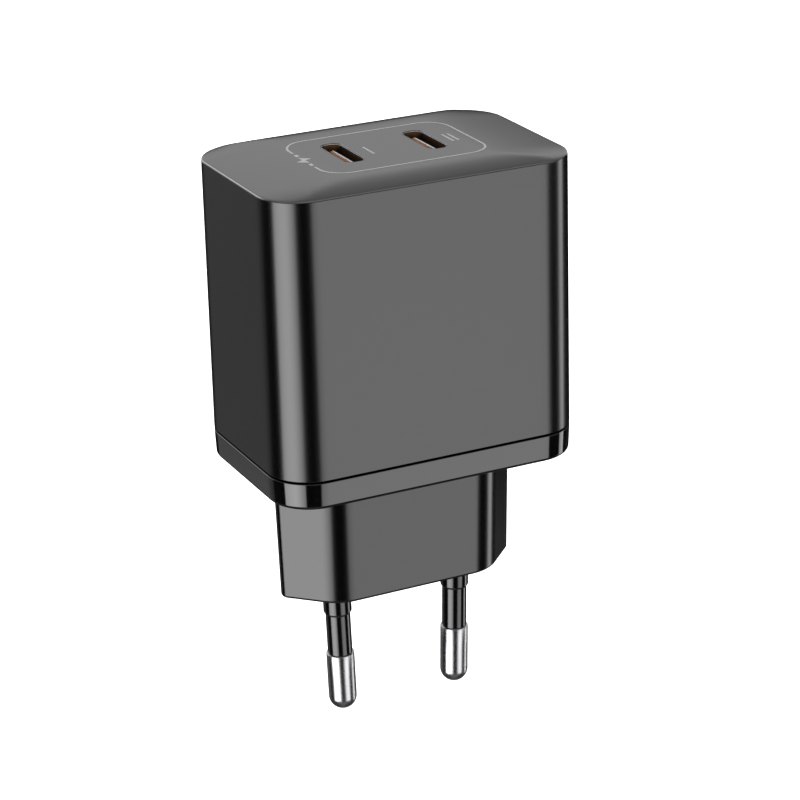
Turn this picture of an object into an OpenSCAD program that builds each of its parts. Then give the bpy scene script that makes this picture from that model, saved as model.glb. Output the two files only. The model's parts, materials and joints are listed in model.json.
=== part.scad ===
// USB wall charger with two USB-C ports and a two-pin Europlug nose.
// The origin is the centre of the plug's engagement face, between its pins.
// +Z points away from the socket, X runs across the pins, and the large front face looks along -Y.

/* [Housing] */
// Width of the housing at the seam
body_width = 44.9; // [44:0.1:60]
// Depth of the housing at the seam
body_depth = 29.6; // [29:0.1:40]
// Height of the upper housing, from the seam to the top of its crown
housing_height = 39.65; // [38:0.05:60]
// Radius of the upright corners
corner_radius = 6.2; // [5:0.1:9]
// Thickness of the housing walls
wall = 1.6; // [1.2:0.1:2]
// How far each side leans in between the seam and the top
side_draft = 0.1; // [0.05:0.01:0.5]
// How far the top's rim lies below the middle of the top
crown_drop = 1.15; // [0.8:0.05:1.6]
// How far the crown rolls off behind the front and back rims
crown_roll_depth = 4.3; // [3:0.1:6]
// How far the crown falls off before the left and right rims
crown_roll_width = 9.9; // [6:0.1:12]

/* [Base] */
// Height of the rim below the seam
rim_height = 3.8; // [3:0.05:6]
// Width of the dark groove at the seam
seam_gap = 0.25; // [0.1:0.05:0.5]
// How far the rim narrows towards its lower edge
rim_inset = 0.16; // [0.05:0.01:0.4]
// Height of the lip that stands inside the housing
lip_height = 2.5; // [1.5:0.1:4]
// Thickness of the lip
lip_thickness = 1.2; // [0.8:0.1:1.6]

/* [Plug] */
// Length of the plug nose, from the engagement face to the rim
nose_length = 18.65; // [16:0.05:26]
// Tip-to-tip width of the nose outline before its ends are rounded
nose_width = 36.2; // [35:0.01:37]
// Thickness of the nose at the engagement face
nose_thickness = 13; // [12.6:0.1:13.7]
// Rounding of the four long corners of the nose
nose_corner_radius = 5.3; // [3:0.1:6]
// Rounding of the two pointed ends of the nose
nose_end_radius = 1.3; // [0.8:0.1:2]
// How far each side of the nose widens towards the rim
nose_draft = 0.45; // [0.2:0.05:0.8]
// Thickness of the nose walls
nose_wall = 1.6; // [1.2:0.1:2]
// Thickness of the nose's end wall, which carries the pins
nose_floor = 2.4; // [2:0.1:3]

/* [Pins] */
// Distance between the pins at the engagement face
pin_spacing = 18.6; // [18:0.1:19.2]
// Distance between the pin tips when nothing spreads them
pin_tip_spacing = 17.65; // [17:0.05:18]
// Length of the pins beyond the engagement face
pin_length = 19.2; // [18.6:0.1:19.5]
// Diameter of the bare metal end
pin_diameter = 4; // [3.94:0.01:4.06]
// Length of the bare metal end
pin_metal_length = 8.8; // [8.6:0.1:10]
// Diameter of the thin part of the insulating sleeve
sleeve_diameter = 3.52; // [3.3:0.01:3.8]
// Length of the thick collar at the root of each sleeve
collar_length = 4.2; // [3:0.1:6]
// Diameter of the metal core inside the sleeve
pin_core_diameter = 2.6; // [2.2:0.1:2.8]
// Radial clearance of the pins in the nose
pin_clearance = 0.1; // [0.06:0.01:0.2]

/* [Ports] */
// Distance between the centres of the two ports
port_pitch = 12.18; // [10:0.01:16]
// Long side of each port opening in the housing
port_cut_length = 9.4; // [9.2:0.1:10]
// Short side of each port opening in the housing
port_cut_width = 3.3; // [3.3:0.01:3.8]
// Chamfer around each port opening
port_chamfer = 0.2; // [0.1:0.05:0.4]
// Outer length of the receptacle shell
shell_length = 8.94; // [8.9:0.01:9]
// Outer thickness of the receptacle shell
shell_width = 3.16; // [3.1:0.01:3.26]
// Sheet thickness of the receptacle shell
shell_sheet = 0.3; // [0.2:0.01:0.31]
// Depth of the receptacle below its mouth
port_depth = 6.2; // [6:0.1:6.5]
// How far the receptacle mouth lies below the top
port_recess = 0.1; // [0.05:0.05:1.5]
// How far the tongue lies below the receptacle mouth
tongue_recess = 0.3; // [0.2:0.05:0.7]

/* [Electronics] */
// Thickness of the circuit boards
board_thickness = 1.2; // [0.8:0.1:1.6]
// Diameter of the bulk capacitors
bulk_diameter = 8.4; // [6:0.1:8.6]
// Height of the bulk capacitors
bulk_height = 20; // [14:0.5:22]
// Width of the transformer core
core_width = 17; // [16:0.1:18]
// Depth of the transformer core
core_depth = 13; // [12:0.1:14]
// Height of the transformer core
core_height = 15.8; // [14:0.1:17]
// Thickness of the metal heat spreader
spreader_thickness = 0.5; // [0.3:0.1:0.6]
// Thickness of the insulation film
film_thickness = 0.25; // [0.15:0.05:0.3]
// Thickness of the thermal pad
pad_thickness = 1.5; // [1:0.1:1.8]

/* [Hidden] */
$fn = 96;

eps = 0.01;
touch_gap = 0.05;
seam_z = nose_length + rim_height + seam_gap;
rim_top = seam_z - seam_gap;
top_z = seam_z + housing_height;
base_floor = 1.65;

// Inside of the housing
in_width = body_width - 2 * wall;
in_depth = body_depth - 2 * wall;
in_radius = corner_radius - wall;
ceiling_z = top_z - crown_drop - wall;
lip_inner_width = in_width - 2 * touch_gap - 2 * lip_thickness;
lip_inner_depth = in_depth - 2 * touch_gap - 2 * lip_thickness;
post_radius = 1.4;
post_x = in_width / 2 - in_radius;
post_y = in_depth / 2 - in_radius;

// Pins: each leans towards the other and flexes about a pivot in the middle of the end wall
pin_lean = atan((pin_spacing - pin_tip_spacing) / 2 / pin_length);
pin_radius = pin_diameter / 2;
pivot_z = nose_floor / 2;
pin_axial_gap = 0.2;
flange_radius = 3;
flange_height = 1.2;
stem_radius = 1.4;
stem_height = 5.2;
flange_z = nose_floor + pin_axial_gap;
retainer_z = flange_z + flange_height + pin_axial_gap;
retainer_height = 2.2;
retainer_hole_radius = stem_radius + 0.35;
core_clearance = 0.01;
contact_gap = 0.3;
contact_sheet = 0.3;
contact_z = flange_z + flange_height + stem_height + contact_gap;

// Boards
power_board_z = rim_top - 0.05;
power_board_top = power_board_z + board_thickness;
port_board_z = ceiling_z - 8.2;
port_board_top = port_board_z + board_thickness;
control_board_y = in_depth / 2 - 5.8;
control_board_back = control_board_y + board_thickness;
control_board_top = port_board_z - 1.2;
chip_base_z = power_board_top + 3;

// Receptacles
mouth_z = top_z - port_recess;
port_floor_z = mouth_z - port_depth;
tongue_z = mouth_z - tongue_recess;
tongue_width = 6.69;
tongue_thickness = 0.7;

// Shields around the electronics
spreader_gap = 0.4;
spreader_z = rim_top + lip_height + 0.6;
spreader_top = port_board_z - 1;
film_offset = spreader_gap + spreader_thickness + touch_gap;
stack_front = film_offset + film_thickness - in_depth / 2;

// Transformer
transformer_x = -core_width / 2 - 1.5;
transformer_y = stack_front + pad_thickness + core_depth / 2;
core_z = power_board_top + 2.2;
plate = 2.4;
leg = 2.4;
post = 3.4;
bobbin_half = core_width / 2 - leg - 0.1;
bobbin_skin = 0.6;
flange_skin = 0.8;
bobbin_tube = post + 0.1 + bobbin_skin;
winding_radius = bobbin_half - 0.2;

// Capacitors and choke
bulk_radius = bulk_diameter / 2;
bulk_x_1 = 0.4 + bulk_radius;
bulk_x_2 = bulk_x_1 + bulk_diameter + 0.9;
bulk_front_y = stack_front + 0.5 + bulk_radius;
bulk_back_y = control_board_y - 1 - bulk_radius;
bulk_z = power_board_top + 0.6;
choke_radius = 4.5;
choke_x = bulk_x_2 - bulk_radius - 0.3 - choke_radius;
choke_y = control_board_y - 5;
choke_z = power_board_top + 0.9 + choke_radius;

BLACK = [0.1, 0.1, 0.105];
SATIN_BLACK = [0.16, 0.16, 0.165];
NICKEL = [0.8, 0.8, 0.82];
GREEN = [0.08, 0.3, 0.18];
COPPER = [0.72, 0.42, 0.22];
AMBER = [0.78, 0.45, 0.14];
FERRITE = [0.2, 0.2, 0.21];

function unit(v) = v / norm(v);

// A convex outline whose corners are true arcs
module rounded_outline(points, radii) {
    count = len(points);
    back = [for (i = [0:count - 1]) unit(points[(i + count - 1) % count] - points[i])];
    ahead = [for (i = [0:count - 1]) unit(points[(i + 1) % count] - points[i])];
    half = [for (i = [0:count - 1]) acos(back[i] * ahead[i]) / 2];
    polygon([for (i = [0:count - 1], side = [back[i], ahead[i]]) points[i] + side * radii[i] / tan(half[i])]);
    for (i = [0:count - 1])
        translate(points[i] + unit(back[i] + ahead[i]) * radii[i] / sin(half[i]))
            circle(r = radii[i]);
}

module rounded_rect(width, depth, radius) {
    square([width - 2 * radius, depth], center = true);
    square([width, depth - 2 * radius], center = true);
    for (x = [-1, 1], y = [-1, 1])
        translate([x * (width / 2 - radius), y * (depth / 2 - radius)])
            circle(r = radius);
}

module rounded_block(width, depth, radius, height) {
    linear_extrude(height) rounded_rect(width, depth, radius);
}

module leaning_profile(span, height, lean) {
    polygon([[-span / 2, 0], [span / 2, 0], [span / 2 - lean, height], [lean - span / 2, height]]);
}

// A rounded block whose sides lean in by lean over its height
module leaning_block(width, depth, radius, height, lean) {
    rotate([90, 0, 0])
        linear_extrude(depth - 2 * radius, center = true)
            leaning_profile(width, height, lean);
    rotate([90, 0, 90])
        linear_extrude(width - 2 * radius, center = true)
            leaning_profile(depth, height, lean);
    for (x = [-1, 1], y = [-1, 1])
        translate([x * (width / 2 - radius), y * (depth / 2 - radius), 0])
            cylinder(r1 = radius, r2 = radius - lean, h = height);
}

// Profile that is flat in the middle and rolls down by crown_drop over the last stretch of half_span
module crown_profile(half_span, roll) {
    arc = (roll * roll + crown_drop * crown_drop) / 2 / crown_drop;
    flat = half_span - roll;
    translate([-flat, -arc]) square([2 * flat, arc]);
    for (side = [-1, 1])
        translate([side * flat, -arc])
            intersection() {
                circle(r = arc, $fn = 360);
                translate([-roll * 1.5, arc / 2]) square([roll * 3, arc / 2 + eps]);
            }
    translate([-half_span - 1, -housing_height - 1])
        square([2 * half_span + 2, housing_height + 1 - crown_drop - 0.6]);
}

module crown() {
    intersection() {
        rotate([90, 0, 0])
            linear_extrude(body_depth + 2, center = true)
                crown_profile(body_width / 2 - side_draft, crown_roll_width);
        rotate([90, 0, 90])
            linear_extrude(body_width + 2, center = true)
                crown_profile(body_depth / 2 - side_draft, crown_roll_depth);
    }
}

// A slot with round ends, long along Y
module slot(length, width, height) {
    linear_extrude(height) rounded_slot(length, width);
}

module rounded_slot(length, width) {
    square([width, length - width], center = true);
    for (side = [-1, 1])
        translate([0, side * (length - width) / 2]) circle(d = width);
}

module port_opening() {
    straight = port_cut_length - port_cut_width;
    radius = port_cut_width / 2;
    translate([0, 0, ceiling_z - 1]) slot(port_cut_length, port_cut_width, top_z - ceiling_z + 2);
    translate([0, 0, top_z - port_chamfer]) {
        rotate([90, 0, 0])
            linear_extrude(straight, center = true)
                polygon([[-radius, 0], [radius, 0], [radius + port_chamfer, port_chamfer],
                    [-radius - port_chamfer, port_chamfer]]);
        for (side = [-1, 1])
            translate([0, side * straight / 2, 0])
                cylinder(r1 = radius, r2 = radius + port_chamfer, h = port_chamfer);
    }
}

module upper_housing() {
    color(SATIN_BLACK) {
        difference() {
            intersection() {
                translate([0, 0, seam_z])
                    leaning_block(body_width, body_depth, corner_radius, housing_height, side_draft);
                translate([0, 0, top_z]) crown();
            }
            translate([0, 0, seam_z - eps])
                rounded_block(in_width, in_depth, in_radius, ceiling_z - seam_z + eps);
            for (side = [-1, 1])
                translate([side * port_pitch / 2, 0, 0]) port_opening();
        }
        for (x = [-1, 1], y = [-1, 1])
            translate([x * post_x, y * post_y, port_board_top])
                cylinder(r = post_radius, h = ceiling_z - port_board_top + eps);
    }
}

module nose_outline(width, thickness, corner, end) {
    flat = (width - thickness) / 2;
    rounded_outline(
        [[flat, -thickness / 2], [width / 2, 0], [flat, thickness / 2],
            [-flat, thickness / 2], [-width / 2, 0], [-flat, -thickness / 2]],
        [corner, end, corner, corner, end, corner]);
}

module nose_hollow_outline(gap) {
    nose_outline(nose_width - 2 * sqrt(2) * (nose_wall + gap), nose_thickness - 2 * (nose_wall + gap),
        nose_corner_radius - nose_wall, nose_end_radius);
}

// Places a piece on a pin's own axis: z runs along the pin and 0 is at the pivot
module on_pin_axis(side) {
    translate([side * (pin_spacing / 2 + pivot_z * tan(pin_lean)), 0, pivot_z])
        rotate([0, side * pin_lean, 0])
            children();
}

module base_cover() {
    taper = [1 + 2 * nose_draft / nose_width, 1 + 2 * nose_draft / nose_thickness];
    color(BLACK)
        difference() {
            union() {
                translate([0, 0, nose_length])
                    leaning_block(body_width - 2 * rim_inset, body_depth - 2 * rim_inset,
                        corner_radius - rim_inset, rim_height, -rim_inset);
                translate([0, 0, rim_top - eps])
                    rounded_block(in_width - 2 * touch_gap, in_depth - 2 * touch_gap,
                        in_radius - touch_gap, lip_height + eps);
                linear_extrude(nose_length + eps, scale = taper, slices = 1)
                    nose_outline(nose_width, nose_thickness, nose_corner_radius, nose_end_radius, $fn = 64);
            }
            difference() {
                translate([0, 0, nose_length + base_floor])
                    rounded_block(lip_inner_width, lip_inner_depth, in_radius - touch_gap - lip_thickness,
                        rim_height + lip_height);
                for (x = [-1, 1], y = [-1, 1])
                    translate([x * post_x, y * post_y, nose_length])
                        cylinder(r = post_radius, h = power_board_z - nose_length);
            }
            difference() {
                translate([0, 0, nose_floor])
                    linear_extrude(nose_length + base_floor) nose_hollow_outline(0);
                translate([-3, -nose_thickness / 2, 0])
                    cube([6, nose_thickness, retainer_z]);
            }
            for (side = [-1, 1])
                on_pin_axis(side)
                    cylinder(r = pin_radius + pin_clearance, h = 4 * nose_floor, center = true);
        }
}

module pin_retainer() {
    color([0.75, 0.74, 0.7])
        difference() {
            union() {
                translate([0, 0, retainer_z])
                    linear_extrude(retainer_height) nose_hollow_outline(touch_gap * 2);
                translate([-0.6, -3, retainer_z]) cube([1.2, 6, 6]);
            }
            for (side = [-1, 1])
                on_pin_axis(side)
                    cylinder(r = retainer_hole_radius, h = 6 * nose_floor, center = true);
        }
}

// The metal pin, from its rounded tip to the stem that meets the contact spring
module pin(side) {
    tip_z = -(pin_length + pivot_z) / cos(pin_lean);
    metal_z = tip_z + pin_metal_length;
    color(NICKEL)
        on_pin_axis(side) {
            translate([0, 0, tip_z + pin_radius]) sphere(r = pin_radius);
            translate([0, 0, tip_z + pin_radius]) cylinder(r = pin_radius, h = pin_metal_length - pin_radius);
            translate([0, 0, metal_z - eps])
                cylinder(d = pin_core_diameter, h = flange_z - pivot_z - metal_z + 2 * eps);
            translate([0, 0, flange_z - pivot_z]) cylinder(r = flange_radius, h = flange_height);
            translate([0, 0, flange_z - pivot_z + flange_height - eps])
                cylinder(r = stem_radius, h = stem_height + eps);
        }
}

module pin_sleeve(side) {
    root = flange_z - pivot_z;
    collar_z = -(collar_length + pivot_z);
    lower = -(pin_length + pivot_z) / cos(pin_lean) + pin_metal_length;
    lead = 0.3;
    bore = pin_core_diameter / 2 + core_clearance;
    thin = sleeve_diameter / 2;
    color(BLACK)
        on_pin_axis(side)
            rotate_extrude()
                polygon([[bore, lower], [thin, lower], [thin, collar_z], [pin_radius - 0.06, collar_z + lead],
                    [pin_radius, collar_z + 2 * lead], [pin_radius, root], [bore, root]]);
}

// Sheet-metal contact: a foot above the pin's stem and a blade up to the power board
module contact_spring(side) {
    inner = pin_spacing / 2 - 1.5;
    outer = pin_spacing / 2 + 1.5;
    color(COPPER)
        translate([0, 1.5, 0])
            rotate([90, 0, 0])
                linear_extrude(3)
                    scale([side, 1])
                        polygon([[inner, contact_z], [outer, contact_z], [outer, power_board_z],
                            [outer - contact_sheet, power_board_z],
                            [outer - contact_sheet, contact_z + contact_sheet],
                            [inner, contact_z + contact_sheet]]);
}

module port_shell(x) {
    color(NICKEL)
        translate([x, 0, port_board_top])
            difference() {
                slot(shell_length, shell_width, mouth_z - port_board_top);
                translate([0, 0, -eps])
                    slot(shell_length - 2 * shell_sheet, shell_width - 2 * shell_sheet,
                        mouth_z - port_board_top + 2 * eps);
            }
}

module port_insulator(x) {
    color(BLACK)
        translate([x, 0, port_board_top])
            slot(shell_length - 2 * shell_sheet - touch_gap, shell_width - 2 * shell_sheet - touch_gap,
                port_floor_z - port_board_top);
}

module port_tongue(x) {
    color(AMBER)
        translate([x, 0, port_floor_z])
            translate([-tongue_thickness / 2, -tongue_width / 2, 0])
                cube([tongue_thickness, tongue_width, tongue_z - port_floor_z]);
}

// Twelve contact strips on each face of the tongue
module port_contacts(x) {
    pitch = 0.5;
    strip = [0.06, 0.25, tongue_z - port_floor_z - 0.8];
    color([0.85, 0.68, 0.35])
        for (side = [0, 1], i = [0:11])
            translate([x + (side == 0 ? -tongue_thickness / 2 - strip.x : tongue_thickness / 2),
                    (i - 5.5) * pitch - strip.y / 2, port_floor_z])
                cube(strip);
}

module power_board() {
    back = control_board_back;
    front = -lip_inner_depth / 2 + 0.5;
    color(GREEN)
        translate([0, (front + back) / 2, power_board_z])
            rounded_block(lip_inner_width - 1, back - front, 3, board_thickness);
}

module control_board() {
    width = lip_inner_width - 4.5;
    color(GREEN)
        translate([-width / 2, control_board_y, power_board_top])
            cube([width, board_thickness, control_board_top - power_board_top]);
}

module port_board() {
    color(GREEN)
        translate([0, 0, port_board_z]) rounded_block(in_width - 5, in_depth - 5.4, 3, board_thickness);
}

module board_header() {
    gap = port_board_z - control_board_top;
    color(BLACK)
        translate([-8, control_board_y, control_board_top + gap / 4]) cube([16, board_thickness, gap / 2]);
    color(NICKEL)
        for (i = [-3.5:3.5])
            translate([2 * i - 0.3, control_board_y + board_thickness / 2 - 0.3, control_board_top])
                cube([0.6, 0.6, gap]);
}

module transformer_core() {
    color(FERRITE)
        translate([transformer_x, transformer_y, core_z]) {
            for (z = [0, core_height - plate])
                translate([-core_width / 2, -core_depth / 2, z]) cube([core_width, core_depth, plate]);
            for (x = [-core_width / 2, core_width / 2 - leg])
                translate([x, -core_depth / 2, 0]) cube([leg, core_depth, core_height]);
            translate([0, 0, eps]) cylinder(r = post, h = core_height - 2 * eps);
        }
}

module transformer_bobbin() {
    low = plate + touch_gap;
    high = core_height - plate - touch_gap;
    rail = 2.3;
    color([0.12, 0.1, 0.09])
        translate([transformer_x, transformer_y, core_z])
            difference() {
                union() {
                    for (z = [low, high - flange_skin])
                        translate([-bobbin_half, 0.4 - core_depth / 2, z])
                            cube([2 * bobbin_half, core_depth - 0.8, flange_skin]);
                    translate([0, 0, low]) cylinder(r = bobbin_tube, h = high - low);
                    translate([-bobbin_half, core_depth / 2 - 0.5, low])
                        cube([2 * bobbin_half, rail + 0.7, flange_skin]);
                    translate([-bobbin_half, core_depth / 2 + 0.2, 0])
                        cube([2 * bobbin_half, rail, low + flange_skin]);
                    for (i = [-2:2])
                        translate([i * 2.4, core_depth / 2 + 0.2 + rail / 2, power_board_top - core_z])
                            cylinder(r = 0.35, h = core_z - power_board_top + 1);
                }
                translate([0, 0, low - 1]) cylinder(r = post + 0.1, h = high - low + 2);
            }
}

module transformer_winding() {
    low = plate + touch_gap + flange_skin;
    high = core_height - low;
    color(AMBER)
        translate([transformer_x, transformer_y, core_z + low])
            difference() {
                cylinder(r = winding_radius, h = high - low);
                translate([0, 0, -1]) cylinder(r = bobbin_tube, h = high - low + 2);
            }
}

// Electrolytic can with a crimped neck, a rubber end and two leads
module electrolytic(radius, height, lead_height) {
    neck = radius - 0.35;
    color([0.2, 0.22, 0.3]) {
        cylinder(r = radius, h = 1.4);
        translate([0, 0, 1.4 - eps]) cylinder(r = neck, h = 0.8 + 2 * eps);
        translate([0, 0, 2.2]) cylinder(r = radius, h = height - 2.2);
    }
    color(NICKEL)
        for (side = [-1, 1])
            translate([side * radius * 0.45, 0, -lead_height]) cylinder(r = 0.3, h = lead_height + eps);
}

module bulk_capacitor(x, y) {
    translate([x, y, bulk_z]) electrolytic(bulk_radius, bulk_height, bulk_z - power_board_top);
}

module choke_core() {
    color(FERRITE)
        translate([choke_x, choke_y, choke_z])
            rotate([90, 0, 0])
                rotate_extrude() translate([choke_radius - 2.1, -1.7]) square([1.6, 3.4]);
}

module choke_winding() {
    lead_x = choke_radius * 0.45;
    color(COPPER)
        translate([choke_x, choke_y, choke_z]) {
            rotate([90, 0, 0])
                for (start = [-65, 115])
                    rotate([0, 0, start])
                        rotate_extrude(angle = 130)
                            difference() {
                                translate([choke_radius - 2.6, -2.2]) square([2.6, 4.4]);
                                translate([choke_radius - 2.1, -1.7]) square([1.6, 3.4]);
                            }
            for (side = [-1, 1])
                translate([side * lead_x, 0, power_board_top - choke_z])
                    cylinder(r = 0.3, h = choke_z - power_board_top - choke_radius + 0.8);
        }
}

module leaded_box(size, lead_height) {
    translate([-size.x / 2, -size.y / 2, 0]) cube(size);
    for (side = [-1, 1])
        translate([side * size.x * 0.35, 0, size.z - eps]) cylinder(r = 0.3, h = lead_height + eps);
}

module x_capacitor() {
    size = [9, 5.6, 10];
    lead = 1.2;
    color([0.85, 0.7, 0.25])
        translate([2.3, 0, power_board_z - lead - size.z]) leaded_box(size, lead);
}

module fuse() {
    radius = 1.7;
    height = 8;
    lead = 2;
    color([0.35, 0.12, 0.1])
        translate([-4.6, 0, power_board_z - lead - height]) {
            cylinder(r = radius, h = height);
            for (side = [-1, 1])
                translate([side * radius * 0.5, 0, height - eps]) cylinder(r = 0.3, h = lead + eps);
        }
}

module y_capacitor() {
    radius = 3.5;
    thickness = 1.9;
    lead = 0.3;
    color([0.2, 0.4, 0.65])
        translate([transformer_x, control_board_y - lead - thickness, core_z + 8])
            rotate([-90, 0, 0]) {
                cylinder(r = radius, h = thickness);
                for (side = [-1, 1])
                    translate([side * 2.4, 0, thickness - eps]) cylinder(r = 0.3, h = lead + eps);
            }
}

// A chip on the back of the control board: x and z are its lower left corner
module control_chip(x, z, width, thickness, height) {
    color(BLACK)
        translate([x, control_board_back, z]) cube([width, thickness, height]);
}

module optocoupler() {
    x = -3;
    z = chip_base_z + 7;
    control_chip(x, z, 4.6, 2.2, 6.6);
    color(NICKEL)
        for (side = [-1, 1], i = [0:1])
            translate([side < 0 ? x - 1 : x + 4.6, control_board_back, z + 1.5 + 2.54 * i])
                cube([1, 0.3, 0.5]);
}

module output_capacitor(x) {
    radius = 3.1;
    height = 7.2;
    translate([x, transformer_y - 2.5, port_board_z])
        mirror([0, 0, 1])
            translate([0, 0, 0.4]) electrolytic(radius, height, 0.4);
}

module output_inductor(x) {
    side = 6.8;
    height = 4.2;
    color([0.3, 0.3, 0.32])
        translate([x - side / 2, control_board_y - side - 1.2, port_board_z - height])
            cube([side, side, height]);
}

module port_controller(x) {
    color(BLACK)
        translate([x - 2, -4, port_board_z - 0.9]) cube([4, 4, 0.9]);
}

// Resistors and small capacitors in rows along the edges of the boards
module surface_mount_parts() {
    part_length = 1.6;
    part_width = 0.8;
    part_height = 0.6;
    low_z = power_board_top + 1;
    high_z = control_board_top - 1.8;
    step = 3;
    color([0.55, 0.45, 0.35]) {
        for (i = [-5:5], z = [low_z, high_z])
            translate([step * i - part_length / 2, control_board_back, z])
                cube([part_length, part_height, part_width]);
        for (side = [-1, 1], z = [low_z + 2.4:step:high_z - 1.5])
            translate([side * 15.5 - part_width / 2, control_board_back, z])
                cube([part_width, part_height, part_length]);
        for (i = [-5:5])
            translate([2.6 * i - part_length / 2, -in_depth / 2 + 3.6, port_board_top])
                cube([part_length, part_width, part_height]);
    }
}

// A sheet that follows the inside of the housing round its front and sides
module shield(outside, thickness, bottom, top, back) {
    inside = outside + thickness;
    translate([0, 0, bottom])
        linear_extrude(top - bottom)
            difference() {
                rounded_rect(in_width - 2 * outside, in_depth - 2 * outside, in_radius - outside);
                rounded_rect(in_width - 2 * inside, in_depth - 2 * inside, in_radius - inside);
                translate([-body_width / 2, back]) square([body_width, body_depth]);
            }
}

module heat_spreader() {
    color([0.75, 0.76, 0.78])
        shield(spreader_gap, spreader_thickness, spreader_z, spreader_top, control_board_y - 2);
}

module insulation_film() {
    color([0.8, 0.5, 0.2])
        shield(film_offset, film_thickness, spreader_z - 0.4, spreader_top + 0.4, control_board_y - 1);
}

module thermal_pad() {
    color([0.6, 0.65, 0.7])
        translate([transformer_x - core_width / 2 + 2.4, stack_front, core_z + 1])
            cube([core_width - 3.4, pad_thickness, core_height - 2]);
}

upper_housing();
base_cover();
pin_retainer();
pin(-1);  // left_pin
pin_sleeve(-1);  // left_pin_sleeve
pin(1);  // right_pin
pin_sleeve(1);  // right_pin_sleeve
contact_spring(-1);  // live_contact_spring
contact_spring(1);  // neutral_contact_spring
port_shell(-port_pitch / 2);  // port_1_shell
port_insulator(-port_pitch / 2);  // port_1_insulator
port_tongue(-port_pitch / 2);  // port_1_tongue
port_contacts(-port_pitch / 2);  // port_1_contacts
port_shell(port_pitch / 2);  // port_2_shell
port_insulator(port_pitch / 2);  // port_2_insulator
port_tongue(port_pitch / 2);  // port_2_tongue
port_contacts(port_pitch / 2);  // port_2_contacts
power_board();
control_board();
port_board();
board_header();
transformer_core();
transformer_bobbin();
transformer_winding();
bulk_capacitor(bulk_x_1, bulk_front_y);  // bulk_capacitor_1
bulk_capacitor(bulk_x_2, bulk_front_y);  // bulk_capacitor_2
bulk_capacitor(bulk_x_2, bulk_back_y);  // bulk_capacitor_3
choke_core();
choke_winding();
x_capacitor();
y_capacitor();
fuse();
control_chip(4, chip_base_z, 8, 1.6, 6);  // bridge_rectifier
control_chip(-12, chip_base_z, 6, 0.9, 8);  // power_switch_chip
control_chip(-12, chip_base_z + 12, 5, 1, 6);  // rectifier_chip
control_chip(5, chip_base_z + 11, 5, 1.5, 5);  // controller_chip
optocoupler();
output_capacitor(transformer_x - 3.8);  // output_capacitor_1
output_capacitor(transformer_x + 3.8);  // output_capacitor_2
output_inductor(transformer_x - 3.8);  // output_inductor_1
output_inductor(transformer_x + 3.8);  // output_inductor_2
port_controller(port_pitch / 2);  // port_controller_1
port_controller(port_pitch);  // port_controller_2
surface_mount_parts();
heat_spreader();
insulation_film();
thermal_pad();
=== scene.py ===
"""Looks of a USB wall charger: detailed meshes, materials, light and camera round its fixed CAD frame."""
import json
import math

import bmesh
import bpy
from mathutils import Matrix, Vector
from mathutils.geometry import delaunay_2d_cdt


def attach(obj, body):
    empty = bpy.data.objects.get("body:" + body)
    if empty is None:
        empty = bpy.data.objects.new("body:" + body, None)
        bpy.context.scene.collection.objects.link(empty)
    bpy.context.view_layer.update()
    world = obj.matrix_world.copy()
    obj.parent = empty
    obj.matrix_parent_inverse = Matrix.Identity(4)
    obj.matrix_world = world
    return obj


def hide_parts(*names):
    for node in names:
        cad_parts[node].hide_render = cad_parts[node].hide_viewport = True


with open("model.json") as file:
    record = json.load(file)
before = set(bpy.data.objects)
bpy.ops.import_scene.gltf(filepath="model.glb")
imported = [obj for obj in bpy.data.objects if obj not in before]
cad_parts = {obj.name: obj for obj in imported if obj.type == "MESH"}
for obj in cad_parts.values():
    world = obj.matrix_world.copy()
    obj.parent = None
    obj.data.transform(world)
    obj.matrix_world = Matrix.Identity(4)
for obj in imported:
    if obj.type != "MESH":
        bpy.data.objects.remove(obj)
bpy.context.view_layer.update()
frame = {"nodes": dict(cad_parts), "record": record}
MM = 0.001

# Sizes of the frame, in millimetres
NOSE_LENGTH = 18.65
RIM_TOP = 22.45
SEAM = 22.7
TOP = 62.33
HOUSING_HEIGHT = 39.63
BODY_HALF = (22.45, 14.8)
CORNER_RADIUS = 6.2
WALL = 1.6
SIDE_DRAFT = 0.1
RIM_INSET = 0.16
CEILING = 59.6
EDGE_Z = 61.2
PORT_X = 6.09
PORT_CORNER = 1.15
MOUTH = 62.25
PORT_FLOOR = 56.05
PIVOT = 1.2
PIN_LEAN = 0.024737
PIN_SPACING = 18.6
POST_RADIUS = 1.4
POST_X = 16.25
POST_Y = 8.6


# ---------------------------------------------------------------- outlines

def arc_outline(corners, radii, steps, spacing):
    """Points and outward normals round a convex polygon with rounded corners, anticlockwise."""
    count = len(corners)
    outline = []
    for i in range(count):
        corner = Vector(corners[i])
        back = (Vector(corners[i - 1]) - corner).normalized()
        ahead = (Vector(corners[(i + 1) % count]) - corner).normalized()
        half = back.angle(ahead) / 2
        centre = corner + (back + ahead).normalized() * radii[i] / math.sin(half)
        start = Vector((back.y, -back.x)) * -1
        turn = math.pi - 2 * half
        for k in range(steps + 1):
            angle = turn * k / steps
            normal = Matrix.Rotation(angle, 2) @ start
            outline.append((centre + normal * radii[i], normal))
    return fill_sides(outline, spacing)


def fill_sides(outline, spacing):
    """Adds points along the straight sides, no further apart than the spacing."""
    filled = []
    for i, (point, normal) in enumerate(outline):
        following, next_normal = outline[(i + 1) % len(outline)]
        filled.append((point, normal))
        straight = (normal - next_normal).length < 1e-6
        pieces = math.ceil((following - point).length / spacing) if straight else 1
        for k in range(1, pieces):
            filled.append((point.lerp(following, k / pieces), normal))
    return filled


def rectangle_outline(half_x, half_y, radius, steps=14, spacing=1.0):
    corners = [(half_x, -half_y), (half_x, half_y), (-half_x, half_y), (-half_x, -half_y)]
    return arc_outline(corners, [radius] * 4, steps, spacing)


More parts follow.
